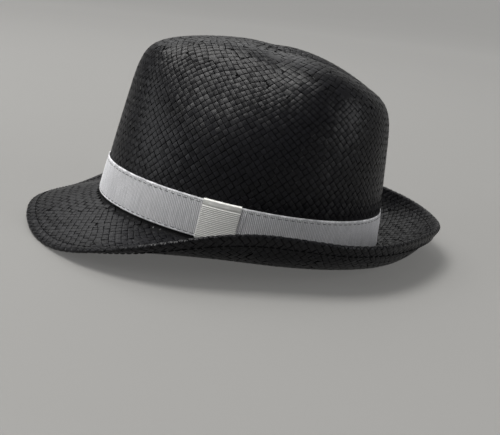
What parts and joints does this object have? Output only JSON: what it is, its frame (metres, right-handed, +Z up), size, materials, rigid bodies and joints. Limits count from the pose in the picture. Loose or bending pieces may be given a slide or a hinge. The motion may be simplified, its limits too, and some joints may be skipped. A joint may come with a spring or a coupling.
{
  "type": "straw hat",
  "caption": "Short-brimmed straw trilby with a creased and pinched crown, a turned-up brim and a ribbon band with a flat keeper.",
  "frame": {"origin": "centre of the hat's box on the surface it rests on, under the front and back of the brim", "axes": "+Z up, the front of the hat towards -Y, the wearer's left towards +X"},
  "size_m": [0.2658, 0.2984, 0.1383],
  "materials": {
    "straw": "black woven paper straw, slightly glossy",
    "ribbon": "white grosgrain ribbon, matt with fine ribs",
    "keeper": "slightly creamier white grosgrain ribbon, matt with fine ribs"
  },
  "bodies": {
    "root": {"straw_body": "straw", "hat_band": "ribbon", "band_keeper": "keeper"}
  },
  "joints": []
}
